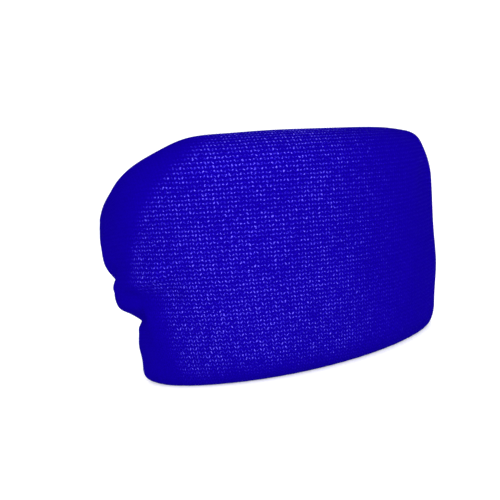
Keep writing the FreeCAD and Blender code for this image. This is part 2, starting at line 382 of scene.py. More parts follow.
def add_piece(name, mesh, material, node):
    """Shows a mesh as a piece that takes the place of a CAD node."""
    piece = add_object(name, mesh)
    mesh.materials.append(material)
    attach(piece, "root")
    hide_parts(node)
    return piece


# ---- folds ----

# The ridges and grooves where the knit is pinched between the index finger and the thumb, and then the soft
# swellings and hollows of the worn knit: a line or a point in (turn in degrees, along), a height and a width.
SHAPES = (
    (((179, 0.620), (170, 0.655), (158, 0.688), (143, 0.705)), 2.0, 4.2),
    (((162, 0.725), (152, 0.745), (140, 0.755)), -1.7, 4.8),
    (((206, 0.545), (195, 0.582), (184, 0.640)), 1.4, 4.6),
    (((192, 0.655), (180, 0.700), (170, 0.728)), 0.9, 3.2),
    (((218, 0.650), (198, 0.690), (180, 0.740), (167, 0.765)), -3.2, 3.5),
    (((218, 0.705), (198, 0.750), (180, 0.797), (168, 0.820)), -1.4, 5.2),
    (((206, 0.488), (188, 0.508)), -1.2, 2.8),
    (((188, 0.985),), 3.0, 9.0),
    (((193, 0.250),), 1.2, 14.0),
    (((196, 0.400),), 1.3, 8.0),
    (((124, 0.260),), 1.1, 13.0),
    (((38, 0.800),), 1.0, 14.0),
    (((47, 0.560),), -1.9, 9.0),
    (((48, 0.360),), 0.9, 6.0),
)


def distance_to_segment(points, start, end):
    """Distances of points to a straight segment, which may have no length."""
    way = end - start
    share = np.clip(((points - start) @ way) / max(way @ way, TINY), 0.0, 1.0)
    nearest = start + share[..., None] * way
    return np.linalg.norm(points - nearest, axis=-1)


# how far round from the pad's middle the knit is fully slack, and the turn over which it eases to that
SLACK_TURN = math.radians(150.0)
SLACK_EASE = math.radians(45.0)


def tightness(turn):
    """1 where the pad and the knuckles hold the knit tight, and 0 over the palm, where it is slack."""
    round_it = np.abs(turn_between(turn, PAD_MIDDLE))
    return smooth((SLACK_TURN - round_it) / SLACK_EASE)


# the cloth run: its enlargement, its length, and how far it grows, starts uneven and may move
CLOTH_SCALE = 10.0
CLOTH_FRAMES = 24
CLOTH_SLACK = 0.17
CLOTH_ROUGHNESS = 0.25
CLOTH_RISE = 3.0
CLOTH_DIP = 0.6
HELD_ROWS = 2
CLOTH_SETTINGS = {
    "quality": 6,
    "mass": 0.2,
    "air_damping": 4.0,
    "tension_stiffness": 20.0,
    "compression_stiffness": 20.0,
    "shear_stiffness": 4.0,
    "bending_stiffness": 0.4,
    "vertex_group_mass": "held",
    "pin_stiffness": 1.0,
    "vertex_group_shrink": "slack",
    "shrink_min": 0.0,
    "shrink_max": -CLOTH_SLACK,
    "use_pressure": False,
}


def vertex_group(piece, name, weights):
    """Adds a vertex group with a weight for each vertex."""
    group = piece.vertex_groups.new(name=name)
    for index, weight in enumerate(weights.ravel()):
        group.add([index], float(weight), "REPLACE")


def grid_places(rows, columns):
    """Turns and shares along the sleeve on a grid that spans it."""
    shares = np.linspace(0.0, 1.0, rows)
    turns = np.arange(columns) / columns * FULL_TURN
    along, turn = np.meshgrid(shares, turns, indexing="ij")
    return turn, along


def held_share(turn):
    """How firmly each point of the cloth is held: by what is under it, and fully at the two rims."""
    rows = np.arange(len(turn))
    from_edge = np.minimum(rows, rows[::-1])[:, None]
    return np.where(from_edge < HELD_ROWS, 1.0, tightness(turn))


def add_cloth(points, held):
    """The sleeve as a piece of cloth, enlarged for the solver. It grows where it isn't held, so it folds."""
    mesh = grid_mesh("cloth_run", points)
    mesh.transform(Matrix.Scale(CLOTH_SCALE, 4))
    piece = add_object("cloth_run", mesh)
    vertex_group(piece, "held", held)
    vertex_group(piece, "slack", 1.0 - held)
    cloth = piece.modifiers.new("cloth", "CLOTH")
    for setting, value in CLOTH_SETTINGS.items():
        setattr(cloth.settings, setting, value)
    cloth.settings.effector_weights.gravity = 0.0
    cloth.point_cache.frame_end = CLOTH_FRAMES
    return piece


def settled_points(piece, shape):
    """Runs the cloth to its last frame and reads its points in millimetres. The piece is removed."""
    for step in range(1, CLOTH_FRAMES + 1):
        bpy.context.scene.frame_set(step)
    settled = piece.evaluated_get(bpy.context.evaluated_depsgraph_get()).to_mesh()
    moved = np.empty(math.prod(shape), np.float32)
    settled.vertices.foreach_get("co", moved)
    mesh = piece.data
    bpy.data.objects.remove(piece)
    bpy.data.meshes.remove(mesh)
    bpy.context.scene.frame_set(1)
    return moved.reshape(shape) / CLOTH_SCALE / MM - SHIFT


def settle_cloth():
    """The heights of the folds that the slack knit takes, from a cloth simulation of the sleeve's outside."""
    turn, along = grid_places(CLOTH_ROWS, CLOTH_COLUMNS)
    rest = sleeve_point(turn, along, 0.0)
    normals = grid_normals(rest)
    rough = CLOTH_ROUGHNESS * soft_noise(CLOTH_NOISE, along.shape)
    start = rest + normals * (rough * (1.0 - tightness(turn)))[..., None]
    moved = settled_points(add_cloth(start, held_share(turn)), rest.shape)
    heights = ((moved - rest) * normals).sum(axis=-1)
    return np.clip(heights, -CLOTH_DIP, CLOTH_RISE)


def shaped_folds():
    """Heights of the shapes on a fine grid. Each has a bell's profile, close to 0 from its width outwards."""
    points = sleeve_point(*grid_places(SHAPE_ROWS, SHAPE_COLUMNS), 0.0)
    height = np.zeros(points.shape[:-1])
    for line, rise, width in SHAPES:
        corners = [sleeve_point(math.radians(t), a, 0.0) for t, a in line]
        ends = corners[1:] or corners
        away = np.min([distance_to_segment(points, *pair) for pair in zip(corners, ends)], axis=0)
        height = height + rise * np.exp(-2.0 * (away / width) ** 2)
    return height


SHAPED_FOLDS = shaped_folds()
CLOTH_FOLDS = settle_cloth()


def sampled(values, turn, along):
    """Smooth values of a grid that spans the sleeve."""
    rows, columns = values.shape
    return sample_grid(values, along * (rows - 1), turn / FULL_TURN * columns)


def fold_height(turn, along):
    """How far the knit stands out in a fold."""
    turn, along = np.broadcast_arrays(turn, along)
    return sampled(SHAPED_FOLDS, turn, along) + sampled(CLOTH_FOLDS, turn, along)


# ---- layers ----


def pad_depth(turn, along):
    """The pad's thickness, which eases to nothing at its edges."""
    off = np.abs(turn_between(turn, PAD_MIDDLE))
    across = smooth((PAD_HALF_TURN - off) / PAD_EDGE_TURN)
    return PAD * across * smooth((along - PAD_START) / PAD_EDGE) * smooth((PAD_END - along) / PAD_EDGE)


def tape_depth(from_rim):
    """The room an elastic tape takes between the layers."""
    return ELASTIC * smooth((TAPE_INSET + 2.0 * TAPE_WIDTH - from_rim) / TAPE_WIDTH)


def lining_depth(turn, along, from_rim):
    """The depth of the lining's inside face."""
    filling = np.maximum(pad_depth(turn, along), tape_depth(from_rim))
    return FILLING_DEPTH + filling + CLEARANCE + LINING


def hem_turn(past):
    """Distance from the rim, and depth, of knit that has run this far past the outside, round the rim."""
    angle = np.clip(past / RIM_RADIUS, 0.0, math.pi)
    inside = np.maximum(past - math.pi * RIM_RADIUS, 0.0)
    from_rim = RIM_RADIUS * (1.0 - np.sin(angle)) + inside
    return from_rim, RIM_RADIUS * (1.0 - np.cos(angle))


def hem_lap(turn, along, from_rim):
    """The extra depth that lays the turned hem over the lining and the pad's edge."""
    over = lining_depth(turn, along, from_rim) + HEM_LAP - 2.0 * RIM_RADIUS
    return over * smooth((from_rim - RIM_RADIUS) / (TAPE_WIDTH - RIM_RADIUS))


# how high a leg of the V is where it joins the next one, and how far an arc of the back bows and swells
LEG_JOIN = 0.35
ARC_BOW = 0.22
ARC_SWELL = 0.25


def stitch_height(wale, course):
    """The height of a V of jersey knit, from 0 between its yarns to 1 on their crowns."""
    across = np.abs(wale % 1.0 - 0.5) * 2.0
    from_finger = np.clip(-course / V_SLANT_COURSES, 0.0, 1.0)
    slant = V_SLANT_FINGER + (V_SLANT_KNUCKLE - V_SLANT_FINGER) * from_finger
    along = (course - slant * across) % 1.0
    leg = LEG_JOIN + (1.0 - LEG_JOIN) * np.sin(math.pi * across)
    return np.sqrt(1.0 - (2.0 * along - 1.0) ** 2) * leg


def loop_height(wale, course):
    """The height of the back of jersey knit: rows of short arcs that interlock."""
    wave = np.cos(FULL_TURN * wale)
    arc = course + ARC_BOW * wave
    return np.sqrt(np.abs(np.sin(math.pi * arc))) * (1.0 - ARC_SWELL + ARC_SWELL * wave)


# the stitches lie flat round the index side, from an edge that bulges at the thumb and draws back above it;
# past that edge their painted crown glint fades too, as painted shade where the knit turns away from the key
# lamp
INDEX_EDGE = math.radians(151.0)
INDEX_EASE = math.radians(14.0)
THUMB_BULGE = math.radians(14.0)
THUMB_ALONG = 0.65
THUMB_REACH = 0.09
WRIST_DRAW = math.radians(26.0)
WRIST_DRAW_FROM = 0.56
WRIST_DRAW_EASE = 0.30

# they lie flat round the little-finger side and the finger rim too, and their painted glint fades there as
# well
LITTLE_EDGE = math.radians(50.0)
LITTLE_EASE = math.radians(44.0)
FINGER_RIM_EASE = 0.07

# shares of the full height of the stitches, which are also shares of their painted crown glint
RISE_AND_GLINT_LEAST = 0.10
RISE_AND_GLINT_OFF_INDEX = 0.14
RISE_AND_GLINT_ON_PAD = 0.76
RISE_AND_GLINT_ON_PALM = 0.8


def stitch_rise_and_painted_glint(turn, along):
    """How far the stitches stand up, and how much painted glint their crowns get: fully over the pad, less
    where the knit is stretched, and nearly fully over the slack palm. The painted glint fades round the index
    and little-finger sides and at the finger rim, as painted shade where the knit turns away from the key
    lamp.
    """
    bulge = THUMB_BULGE * np.exp(-(((along - THUMB_ALONG) / THUMB_REACH) ** 2))
    draw = WRIST_DRAW * smooth((WRIST_DRAW_FROM - along) / WRIST_DRAW_EASE)
    index = smooth((INDEX_EDGE + bulge - draw - turn) / INDEX_EASE)
    little = smooth((turn - LITTLE_EDGE) / LITTLE_EASE)
    finger_rim = smooth((1.0 - along) / FINGER_RIM_EASE)
    front = RISE_AND_GLINT_LEAST + RISE_AND_GLINT_OFF_INDEX * index + RISE_AND_GLINT_ON_PAD * index * little * finger_rim
    return np.maximum(front, RISE_AND_GLINT_ON_PALM * (1.0 - tightness(turn)))


def course_drop(turns):
    """How far the courses sag towards the finger rim on the little-finger side."""
    return COURSE_DROP * np.exp(-((turn_between(turns, COURSE_DROP_TURN) / COURSE_DROP_SPREAD) ** 2))


def knit_maps(wale, course, wales):
    """The two maps of a knit: its wale and course numbers, and the unit square. The first column comes again
    at the end, one round further."""
    wale = np.concatenate([wale, wale[:, :1] + wales], axis=1)
    course = np.concatenate([course, course[:, :1]], axis=1)
    return {"Knit": np.stack([wale, course], axis=-1), "OFBake": unit_map(*wale.shape)}


# the ripples of a gathered rim, and how uneven their spacing is
GATHER_HEIGHT = 0.35
GATHER_REACH = 7.0
GATHER_WALES = 2.62
GATHER_TIGHT_SHARE = 0.15
GATHER_WANDER = 1.3
GATHER_WANDER_TURNS = 7.0


def gathers(wale, from_rim, turn):
    """Small ripples where the elastic draws in a rim, deeper over the palm than over the tight front."""
    height = GATHER_HEIGHT * (1.0 - (1.0 - GATHER_TIGHT_SHARE) * tightness(turn))
    wander = GATHER_WANDER * np.sin(FULL_TURN * wale / WALES * GATHER_WANDER_TURNS)
    ripple = np.sin(FULL_TURN * wale / GATHER_WALES + wander)
    return height * ripple * np.exp(-((from_rim / GATHER_REACH) ** 2))


def hem_to_hem(lengths):
    """Rows from one hem's edge to the other's: distance from the wrist rim, run from the face's start, and
    how far each row is past the face."""
    face = lengths - 2.0 * RIM_RADIUS
    row_pitch = COURSE / ROWS_PER_COURSE
    hem = np.linspace(HEM_LENGTH, 0.0, round(HEM_LENGTH / row_pitch))[:-1, None]
    across_face = np.linspace(0.0, 1.0, round(face.max() / row_pitch))[:, None] * face
    from_rim, _ = hem_turn(hem)
    ones = np.ones(len(lengths))
    distance = np.vstack([from_rim * ones, RIM_RADIUS + across_face, lengths - from_rim[::-1]])
    run = np.vstack([-hem * ones, across_face, face + hem[::-1]])
    past = np.concatenate([hem, np.zeros((len(across_face), 1)), hem[::-1]])
    return distance, run, past


# how far wales, courses and relief vary
WALE_DRIFT = 0.10
COURSE_DRIFT = 0.16
RELIEF_DRIFT = 0.25


def outer_knit(material):
    """The outside layer: jersey knit from hem to hem, with every stitch standing up in relief."""
    turns, lengths = even_lines(WALES * COLUMNS_PER_WALE)
    distance, run, past = hem_to_hem(lengths)
    along = along_at(turns, distance)
    from_rim = np.minimum(distance, lengths - distance)
    face = lengths - 2.0 * RIM_RADIUS
    wale = np.arange(len(turns)) / COLUMNS_PER_WALE + WALE_DRIFT * soft_noise(WALE_NOISE, distance.shape)
    course = (run - face - course_drop(turns)) / COURSE
    course = course + COURSE_DRIFT * soft_noise(COURSE_NOISE, distance.shape)
    turned_in = past > math.pi * RIM_RADIUS
    depth = hem_turn(past)[1] + turned_in * hem_lap(turns, along, from_rim)
    fold = fold_height(turns, along) + gathers(wale, from_rim, turns)
    base = sleeve_point(turns, along, depth - fold)
    rise_and_glint_share = stitch_rise_and_painted_glint(turns, along)
    relief = V_RELIEF * (1.0 + RELIEF_DRIFT * soft_noise(RELIEF_NOISE, distance.shape)) * rise_and_glint_share
    points = base + grid_normals(base) * (relief * (stitch_height(wale, course) - 0.5))[..., None]
    points[..., 2] = np.maximum(points[..., 2], 0.0)
    mesh = grid_mesh("outer_knit", points, knit_maps(wale, course, WALES))
    # the same share dims the painted crown glint in the outer knit's material
    attribute = mesh.attributes.new("stitch_rise_and_painted_glint", "FLOAT", "POINT")
    attribute.data.foreach_set("value", rise_and_glint_share.astype(np.float32).ravel())
    return add_piece("outer_knit", mesh, material, "outer_knit_sleeve"), lengths


LINING_WALES = 150
LINING_COLUMNS_PER_WALE = 4
LINING_COURSE = 1.2
LINING_ROWS_PER_COURSE = 4
LINING_RELIEF = 0.16
LINING_EDGE = 7.5
LINING_DRIFT = 0.15


def lining_knit(material):
    """The inside layer. Its edges lie under the two hems of the outer knit."""
    turns, lengths = even_lines(LINING_WALES * LINING_COLUMNS_PER_WALE)
    rows = np.linspace(0.0, 1.0, round(lengths.max() / LINING_COURSE * LINING_ROWS_PER_COURSE))
    distance = LINING_EDGE + rows[:, None] * (lengths - 2.0 * LINING_EDGE)
    along = along_at(turns, distance)
    from_rim = np.minimum(distance, lengths - distance)
    wale = np.arange(len(turns)) / LINING_COLUMNS_PER_WALE
    wale = wale + WALE_DRIFT * soft_noise(LINING_WALE_NOISE, distance.shape)
    course = (distance - 0.5 * lengths) / LINING_COURSE
    course = course + LINING_DRIFT * soft_noise(LINING_COURSE_NOISE, distance.shape)
    base = sleeve_point(turns, along, lining_depth(turns, along, from_rim) - fold_height(turns, along))
    relief = LINING_RELIEF * (loop_height(wale, course) - 0.5)
    points = base - grid_normals(base) * relief[..., None]
    maps = knit_maps(wale, course, LINING_WALES)
    mesh = grid_mesh("lining_knit", points, maps, inward=True)
    return add_piece("lining_knit", mesh, material, "inner_knit_lining"), lengths


# the foam: its fineness, how square its edges are, its crowned back and its rough skin
FOAM_ROWS = 90
FOAM_COLUMNS = 120
FOAM_SIDE_SQUARE = 8
FOAM_END_SQUARE = 10
FOAM_CROWN = 0.35
FOAM_GRAIN = 0.10


def rounded_edge(share, square):
    """A rounded edge's height over a share from 0 to 1: 1 in the middle and 0 at both ends."""
    return np.sqrt(1.0 - np.abs(2.0 * share - 1.0) ** square)


def foam_pad(material):
    """The foam between the layers: a crowned slab with rounded edges, bent over the knuckles."""
    across = np.linspace(0.0, 1.0, FOAM_COLUMNS)[None, :]
    down = np.linspace(0.0, 1.0, FOAM_ROWS)[:, None]
    across, down = np.broadcast_arrays(across, down)
    half = PAD_HALF_TURN - PAD_EDGE_TURN / 2.0
    turn = PAD_MIDDLE - half + 2.0 * half * across
    start, end = PAD_START + PAD_EDGE / 2.0, PAD_END - PAD_EDGE / 2.0
    along = start + (end - start) * down
    edge = rounded_edge(across, FOAM_SIDE_SQUARE) * rounded_edge(down, FOAM_END_SQUARE)
    full = pad_depth(turn, along)
    grain = FOAM_GRAIN * soft_noise(FOAM_NOISE, turn.shape) * edge
    middle = FILLING_DEPTH + full / 2.0 - fold_height(turn, along)
    half_thick = full * edge / 2.0
    front = sleeve_point(turn, along, middle - half_thick + grain)
    back = sleeve_point(turn, along, middle + half_thick - FOAM_CROWN * edge + grain)
    loop = np.concatenate([front, back[:, ::-1][:, 1:-1]], axis=1)
    mesh = grid_mesh("foam_pad", loop, {"OFBake": unit_map(FOAM_ROWS, loop.shape[1] + 1)})
    weld(mesh)
    return add_piece("foam_pad", mesh, material, "knuckle_foam_pad")


# a tape: its fineness, its lengthwise ribs, its rounded edges and the ripple of its weave
TAPE_COLUMNS = 360
TAPE_STEPS = 36
TAPE_RIBS = 7.0
TAPE_RIB_HEIGHT = 0.09
TAPE_SQUARE = 16
TAPE_WEAVE = 0.03
TAPE_WEAVE_COLUMNS = 4.0


def elastic_tape(name, node, from_wrist, material):
    """A ribbed elastic tape round the sleeve, inside a hem."""
    turns, lengths = even_lines(TAPE_COLUMNS)
    share = np.linspace(0.0, 1.0, TAPE_STEPS)
    groove = TAPE_RIB_HEIGHT * (1.0 - np.cos(FULL_TURN * TAPE_RIBS * share))
    edge = 0.5 * ELASTIC * (1.0 - rounded_edge(share, TAPE_SQUARE))
    outer = FILLING_DEPTH + edge + groove
    inner = FILLING_DEPTH + ELASTIC - edge - groove
    from_rim = TAPE_INSET + TAPE_WIDTH * np.concatenate([share, share[::-1]])
    depth = np.concatenate([outer, inner[::-1]])
    distance = from_rim[:, None] + np.zeros(len(lengths))
    if not from_wrist:
        distance = lengths - distance[::-1]
        depth = depth[::-1]
    along = along_at(turns, distance)
    weave = TAPE_WEAVE * np.cos(FULL_TURN * np.arange(len(turns)) / TAPE_WEAVE_COLUMNS)
    points = sleeve_point(turns, along, depth[:, None] - fold_height(turns, along) + weave)
    maps = {"OFBake": unit_map(len(depth) + 1, len(turns) + 1)}
    add_piece(name, grid_mesh(name, points, maps, rows_closed=True), material, node)


# the thread: its two plies, and how it arches over the cloth and dips under it
THREAD_RADIUS = 0.32
THREAD_SIDES = 10
THREAD_STEP = 0.2
THREAD_TWIST = 1.1
PLY_RELIEF = 0.16
THREAD_ARCH = 1.2 * THREAD_RADIUS
ARCH_FLATNESS = 0.35
THREAD_DIP = 0.75
HEM_PLACES = 480
TACKING_PLACES = 720
TACKING_SQUARE = 12
NEARBY = 0.001
DEEPER = 0.5


def closed_path(points, spacing):
    """Points at an even spacing along a closed line."""
    closed = np.vstack([points, points[:1]])
    steps = np.linalg.norm(np.diff(closed, axis=0), axis=1)
    walked = np.concatenate([[0.0], np.cumsum(steps)])
    count = round(walked[-1] / spacing)
    places = np.arange(count) / count * walked[-1]
    return np.stack([np.interp(places, walked, closed[:, axis]) for axis in range(3)], axis=1), walked[-1]


def thread_lift(phase):
    """The height of the thread's middle over the cloth: a flat arch for half of each stitch, then a dip."""
    wave = np.cos(FULL_TURN * phase)
    return np.where(wave > 0.0, THREAD_ARCH * np.abs(wave) ** ARCH_FLATNESS, THREAD_DIP * wave)


def unit_rows(vectors):
    """The directions of rows of vectors."""
    return vectors / np.linalg.norm(vectors, axis=1, keepdims=True)


def two_ply_tube(path, normals, twists):
    """Points of a two-ply thread round a closed line, which turns about it the given number of times."""
    tangent = unit_rows(np.roll(path, -1, axis=0) - np.roll(path, 1, axis=0))
    across = np.cross(tangent, normals)
    up = np.cross(across, tangent)
    angle = np.arange(THREAD_SIDES) / THREAD_SIDES * FULL_TURN
    turned = FULL_TURN * twists * np.arange(len(path)) / len(path)
    radius = THREAD_RADIUS * (1.0 + PLY_RELIEF * np.cos(2.0 * angle[None, :] - turned[:, None]))
    ring = up[:, None] * np.cos(angle)[None, :, None] + across[:, None] * np.sin(angle)[None, :, None]
    return path[:, None] + ring * radius[..., None]


def running_stitch(name, node, face_points, face_normals, material):
    """A two-ply thread that runs along a closed line, over the cloth for half of each stitch and under it
    for the other half."""
    path, length = closed_path(face_points, THREAD_STEP)
    beside, _ = closed_path(face_points + face_normals * NEARBY, THREAD_STEP)
    normals = unit_rows(beside - path)
    phase = np.arange(len(path)) / len(path) * round(length / STITCH_PITCH)
    path = path + normals * thread_lift(phase)[:, None]
    points = two_ply_tube(path, normals, round(length / THREAD_TWIST))
    maps = {"OFBake": unit_map(len(path) + 1, THREAD_SIDES + 1)}
    add_piece(name, grid_mesh(name, points, maps, rows_closed=True), material, node)


def inside_face(turns, along, depth):
    """Points at a depth on the inside, and vectors that point away from them into the hollow."""
    depth = depth - fold_height(turns, along)
    points = sleeve_point(turns, along, depth)
    return points, sleeve_point(turns, along, depth + DEEPER) - points


def hem_thread(name, node, from_wrist, material):
    """The stitch row of a hem, just past its tape."""
    turns, lengths = even_lines(HEM_PLACES)
    distance = np.full((1, len(turns)), STITCH_INSET)
    if not from_wrist:
        distance = lengths[None, :] - distance
    along = along_at(turns, distance)[0]
    depth = 2.0 * RIM_RADIUS + hem_lap(turns, along, STITCH_INSET)
    points, away = inside_face(turns, along, depth)
    running_stitch(name, node, points, away, material)


def tacking_thread(material):
    """The loop of stitches that holds the pad to the lining, just inside the pad's edge."""
    half = PAD_HALF_TURN - PAD_EDGE_TURN
    low, high = PAD_START + PAD_EDGE, PAD_END - PAD_EDGE
    corner = np.linspace(0.0, FULL_TURN, TACKING_PLACES, endpoint=False)
    side, front = np.cos(corner), np.sin(corner)
    reach = (np.abs(side) ** TACKING_SQUARE + np.abs(front) ** TACKING_SQUARE) ** (-1.0 / TACKING_SQUARE)
    turns = PAD_MIDDLE + half * side * reach
    along = (low + high) / 2.0 + (high - low) / 2.0 * front * reach
    from_rim = np.full(len(turns), 2.0 * TAPE_WIDTH + TAPE_INSET)
    points, away = inside_face(turns, along, lining_depth(turns, along, from_rim))
    running_stitch("pad_tacking_thread", "pad_tacking_stitches", points, away, material)


# ---- materials ----


def put(tree, socket, value):
    """Joins a node's output to a socket, or sets the socket to a plain value."""
    if isinstance(value, bpy.types.NodeSocket):
        tree.links.new(value, socket)
    else:
        socket.default_value = value


def set_inputs(tree, node, **values):
    """Joins or sets the named inputs of a node. A name's underscores stand for spaces."""
    for name, value in values.items():
        put(tree, node.inputs[name.replace("_", " ")], value)


def add_node(tree, kind, **values):
    """A new shader node with its named inputs joined or set."""
    node = tree.nodes.new("ShaderNode" + kind)
    set_inputs(tree, node, **values)
    return node


def maths(tree, operation, *values):
    """The result of a maths node."""
    node = add_node(tree, "Math")
    node.operation = operation
    for socket, value in zip(node.inputs, values):
        put(tree, socket, value)
    return node.outputs[0]


def times(tree, value, other):
    """The product of two values."""
    return maths(tree, "MULTIPLY", value, other)


def scaled(tree, value, by, base):
    """A value times another, plus a base."""
    return maths(tree, "MULTIPLY_ADD", value, by, base)


def ramp(tree, factor, *stops):
    """Colours blended by a factor. A stop is (place, (red, green, blue))."""
    node = add_node(tree, "ValToRGB")
    put(tree, node.inputs[0], factor)
    elements = node.color_ramp.elements
    while len(elements) < len(stops):
        elements.new(0.5)
    for element, (place, colour) in zip(elements, stops):
        element.position = place
        element.color = (*colour, 1.0)
    return node.outputs[0]


def noise(tree, vector, scale, detail):
    """Noise from 0 to 1."""
    return add_node(tree, "TexNoise", Vector=vector, Scale=scale, Detail=detail).outputs[0]


def cell_noise(tree, first, second):
    """One random value from 0 to 1 for each whole-numbered pair."""
    join = add_node(tree, "CombineXYZ", X=first, Y=second)
    node = add_node(tree, "TexWhiteNoise")
    node.noise_dimensions = "2D"
    set_inputs(tree, node, Vector=join.outputs[0])
    return node.outputs[0]


def bump(tree, height, distance, strength, normal=None):
    """A normal bent by a height. A height of 1 stands for the distance, in metres."""
    node = add_node(tree, "Bump", Height=height, Distance=distance, Strength=strength)
    if normal is not None:
        set_inputs(tree, node, Normal=normal)
    return node.outputs[0]


def new_material(name):
    """A material, its node tree, its main shader and the place on the object."""
    material = bpy.data.materials.new(name)
    material.use_nodes = True
    tree = material.node_tree
    shader = tree.nodes["Principled BSDF"]
    place = add_node(tree, "TexCoord").outputs["Object"]
    return material, tree, shader, place


def map_places(tree, name):
    """The two coordinates of a UV map. In the map called Knit they are wale and course numbers."""
    uv = add_node(tree, "UVMap")
    uv.uv_map = name
    split = add_node(tree, "SeparateXYZ", Vector=uv.outputs[0])
    return split.outputs[0], split.outputs[1]


def dome(tree, share):
    """A half circle's height over a share that runs from 0 to 1."""
    centred = scaled(tree, share, 2.0, -1.0)
    rest = maths(tree, "SUBTRACT", 1.0, times(tree, centred, centred))
    return maths(tree, "SQRT", maths(tree, "MAXIMUM", rest, 0.0))


# how far the yarn strays, in courses
YARN_WANDER = 0.7


def v_stitch(tree, wander):
    """The same V stitch as the mesh has: the roundness of its yarn, the rise of its leg, and a random value
    for each leg of each V."""
    wale, course = map_places(tree, "Knit")
    centred = maths(tree, "SUBTRACT", maths(tree, "FRACT", wale), 0.5)
    across = times(tree, maths(tree, "ABSOLUTE", centred), 2.0)
    from_finger = maths(tree, "MINIMUM", times(tree, course, -1.0 / V_SLANT_COURSES), 1.0)
    from_finger = maths(tree, "MAXIMUM", from_finger, 0.0)
    slant = scaled(tree, from_finger, V_SLANT_KNUCKLE - V_SLANT_FINGER, V_SLANT_FINGER)
    slanted = maths(tree, "SUBTRACT", course, times(tree, across, slant))
    slanted = scaled(tree, maths(tree, "SUBTRACT", wander, 0.5), YARN_WANDER, slanted)
    sine = maths(tree, "SINE", times(tree, across, math.pi))
    leg = scaled(tree, sine, 1.0 - LEG_JOIN, LEG_JOIN)
    leg_number = maths(tree, "FLOOR", times(tree, wale, 2.0))
    chance = cell_noise(tree, leg_number, maths(tree, "FLOOR", slanted))
    return dome(tree, maths(tree, "FRACT", slanted)), leg, chance


# the glint painted into the colour of a crown, what varies it, and how metallic it looks
GLINT = 0.36
GLINT_CHANCE = 0.50
GLINT_SPARKLE = 3.2
CROWN_SHARPNESS = 8.0
LEG_SHARPNESS = 2.0
LUSTRE = 0.30
WEAR = 0.25
FUZZ = 0.25


def varied(tree, change, amount, value):
    """A value moved up and down by a change that runs from 0 to 1."""
    return scaled(tree, maths(tree, "SUBTRACT", change, 0.5), amount, value)


def painted_crown_glints(tree, place, roundness, leg, chance):
    """How bright the painted glint is at each point: most on the crowns of the stitches that stand up. It is
    painted into the base colour as a highlight.
    """
    sparkle = noise(tree, place, scale=3800.0, detail=1.0)
    # the stitches' rise, which also dims the painted glint round the sides and at the finger rim
    rise_and_glint_share = add_node(tree, "Attribute")
    rise_and_glint_share.attribute_name = "stitch_rise_and_painted_glint"
    sharp_crown = maths(tree, "POWER", roundness, CROWN_SHARPNESS)
    sharp_leg = maths(tree, "POWER", leg, LEG_SHARPNESS)
    crown = times(tree, times(tree, sharp_crown, sharp_leg), rise_and_glint_share.outputs["Fac"])
    glint = varied(tree, sparkle, GLINT_SPARKLE, scaled(tree, chance, GLINT_CHANCE, GLINT))
    return times(tree, crown, maths(tree, "MAXIMUM", glint, 0.0))


def outer_knit_material():
    """Royal blue jersey of bright yarn: deep blue between the yarns, and violet glints painted into the
    colour of their crowns as a painted highlight, which also drive a metallic lustre there.
    """
    material, tree, shader, place = new_material("outer_knit_blue")
    roundness, leg, chance = v_stitch(tree, noise(tree, place, scale=1400.0, detail=1.0))
    height = times(tree, roundness, leg)
    fibres = noise(tree, place, scale=9000.0, detail=2.0)
    patches = noise(tree, place, scale=55.0, detail=4.0)
    painted_crown_light_and_tone = painted_crown_glints(tree, place, roundness, leg, chance)
    factor = varied(tree, fibres, FUZZ, varied(tree, patches, WEAR, painted_crown_light_and_tone))
    # the two upper stops are the painted violet highlight of the crown glints; random wear patches and fibres
    # shift it a little
    colour = ramp(
        tree,
        factor,
        (0.00, (0.0030, 0.0000, 0.185)),
        (0.30, (0.0046, 0.0002, 0.240)),
        (0.70, (0.0320, 0.0200, 0.440)),
        (1.00, (0.1400, 0.1080, 0.720)),
    )
    gloss = scaled(tree, chance, 0.16, 0.32)
    roughness = scaled(tree, patches, 0.10, gloss)
    stitch_normal = bump(tree, height, distance=0.00016, strength=0.8)
    fibre_normal = bump(tree, fibres, distance=0.00004, strength=0.5, normal=stitch_normal)
    set_inputs(tree, shader, Base_Color=colour, Roughness=roughness, Normal=fibre_normal)
    set_inputs(tree, shader, Metallic=times(tree, painted_crown_light_and_tone, LUSTRE), Specular_IOR_Level=0.0)
    set_inputs(tree, shader, Sheen_Weight=0.02, Sheen_Roughness=0.4, Sheen_Tint=(0.03, 0.00, 1.0, 1.0))
    return material


